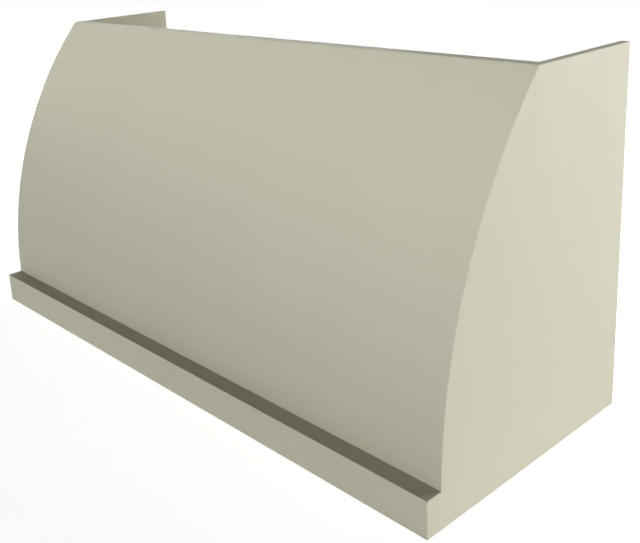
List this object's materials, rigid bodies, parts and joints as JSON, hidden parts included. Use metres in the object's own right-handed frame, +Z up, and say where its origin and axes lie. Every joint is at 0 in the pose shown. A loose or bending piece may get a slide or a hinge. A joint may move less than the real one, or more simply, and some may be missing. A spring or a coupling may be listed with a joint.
{
  "type": "wooden range hood cover",
  "caption": "Wide painted wooden wall cover for a range hood, with a front that curves back above a straight apron, open at the back and the top.",
  "frame": {"origin": "middle of the bottom of the bounding box, level with the bottom edge of the apron and the side panels", "axes": "+X along the width, to the right seen from the front; -Y towards the cook, +Y towards the wall; +Z up"},
  "size_m": [1.524, 0.6096, 0.762],
  "materials": {
    "painted_wood": "sprayed satin paint, warm pale grey",
    "birch_plywood": "raw sanded birch plywood",
    "poplar": "raw planed poplar",
    "beech": "raw beech dowel",
    "zinc_steel": "zinc-plated steel"
  },
  "bodies": {
    "root": {"left_side_panel": "painted_wood", "right_side_panel": "painted_wood", "front_outer_ply": "painted_wood", "front_inner_ply": "painted_wood", "apron_board": "painted_wood", "ledge_board": "painted_wood", "left_outer_rib": "birch_plywood", "left_inner_rib": "birch_plywood", "right_inner_rib": "birch_plywood", "right_outer_rib": "birch_plywood", "frame_front_rail": "birch_plywood", "frame_rear_rail": "birch_plywood", "frame_left_rail": "birch_plywood", "frame_right_rail": "birch_plywood", "top_front_rail": "poplar", "apron_cleat": "poplar", "left_frame_cleat": "poplar", "right_frame_cleat": "poplar", "left_rear_cleat": "poplar", "right_rear_cleat": "poplar", "upper_hanging_rail": "poplar", "lower_hanging_rail": "poplar", "left_cross_tie": "poplar", "right_cross_tie": "poplar", "glue_block_1": "poplar", "glue_block_2": "poplar", "glue_block_3": "poplar", "glue_block_4": "poplar", "glue_block_5": "poplar", "frame_dowels": "beech", "frame_screws": "zinc_steel", "cleat_screws": "zinc_steel", "ledge_screws": "zinc_steel", "rib_screws": "zinc_steel", "rail_screws": "zinc_steel", "tie_screws": "zinc_steel"}
  },
  "joints": []
}
